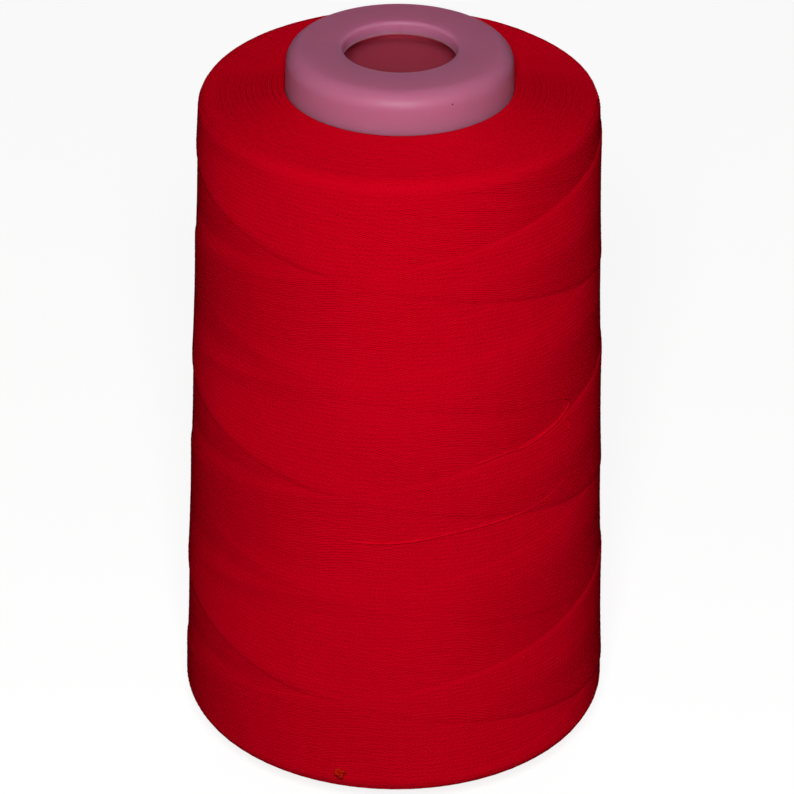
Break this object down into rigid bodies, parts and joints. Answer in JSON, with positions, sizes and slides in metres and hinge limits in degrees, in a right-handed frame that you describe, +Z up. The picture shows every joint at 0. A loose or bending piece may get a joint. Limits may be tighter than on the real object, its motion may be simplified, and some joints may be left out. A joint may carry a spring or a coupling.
{
  "type": "spool of thread",
  "caption": "Wound cone of red sewing thread on a hollow pink plastic tube with a rounded nose and an open foot.",
  "frame": {"origin": "centre of the tube's foot, on the plane that the spool stands on", "axes": "+Z up along the tube's axis, from the foot to the nose; -Y faces the side with the knotted thread end"},
  "size_m": [0.0648, 0.0648, 0.1138],
  "materials": {
    "tube_plastic": "satin",
    "thread": "matte"
  },
  "bodies": {
    "root": {"tube_core": "tube_plastic", "thread_package": "thread", "thread_end_knot": "thread"}
  },
  "joints": []
}
